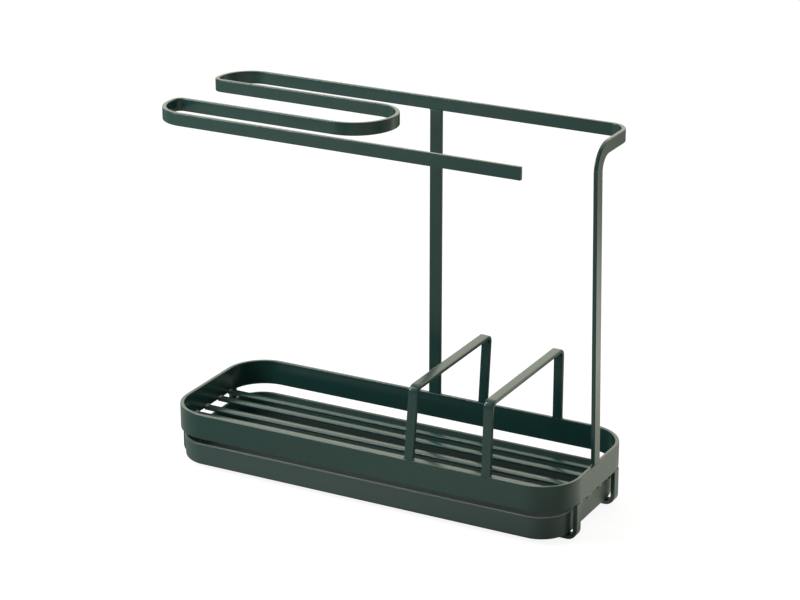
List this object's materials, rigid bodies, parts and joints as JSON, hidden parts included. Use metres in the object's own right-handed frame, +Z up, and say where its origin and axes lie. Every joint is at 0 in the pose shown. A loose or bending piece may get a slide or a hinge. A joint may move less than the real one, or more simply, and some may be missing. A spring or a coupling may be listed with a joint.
{
  "type": "sponge holder",
  "caption": "Countertop sponge holder: a slatted flat-bar basket with divider hoops, cloth rails above it and a drip tray that slides out below.",
  "frame": {"origin": "on the counter, under the middle of the part's box", "axes": "+X along the basket to the post's end, +Y away from the user, +Z up"},
  "size_m": [0.2586, 0.098, 0.2176],
  "materials": {
    "steel_green": "satin dark green powder coat",
    "tray_green": "matt dark green"
  },
  "bodies": {
    "frame": {"basket_band": "steel_green", "slat_1": "steel_green", "slat_2": "steel_green", "slat_3": "steel_green", "slat_4": "steel_green", "divider_hoop_left": "steel_green", "divider_hoop_right": "steel_green", "centre_post": "steel_green", "hanger_bar": "steel_green", "tray_hook_front_left": "steel_green", "tray_hook_front_right": "steel_green", "tray_hook_rear_left": "steel_green", "tray_hook_rear_right": "steel_green"},
    "tray": {"drip_tray": "tray_green"}
  },
  "joints": [
    {"name": "tray_slide", "type": "slide", "parent": "frame", "child": "tray", "axis": [0, -1, 0], "range_m": [0, 0.08]}
  ]
}
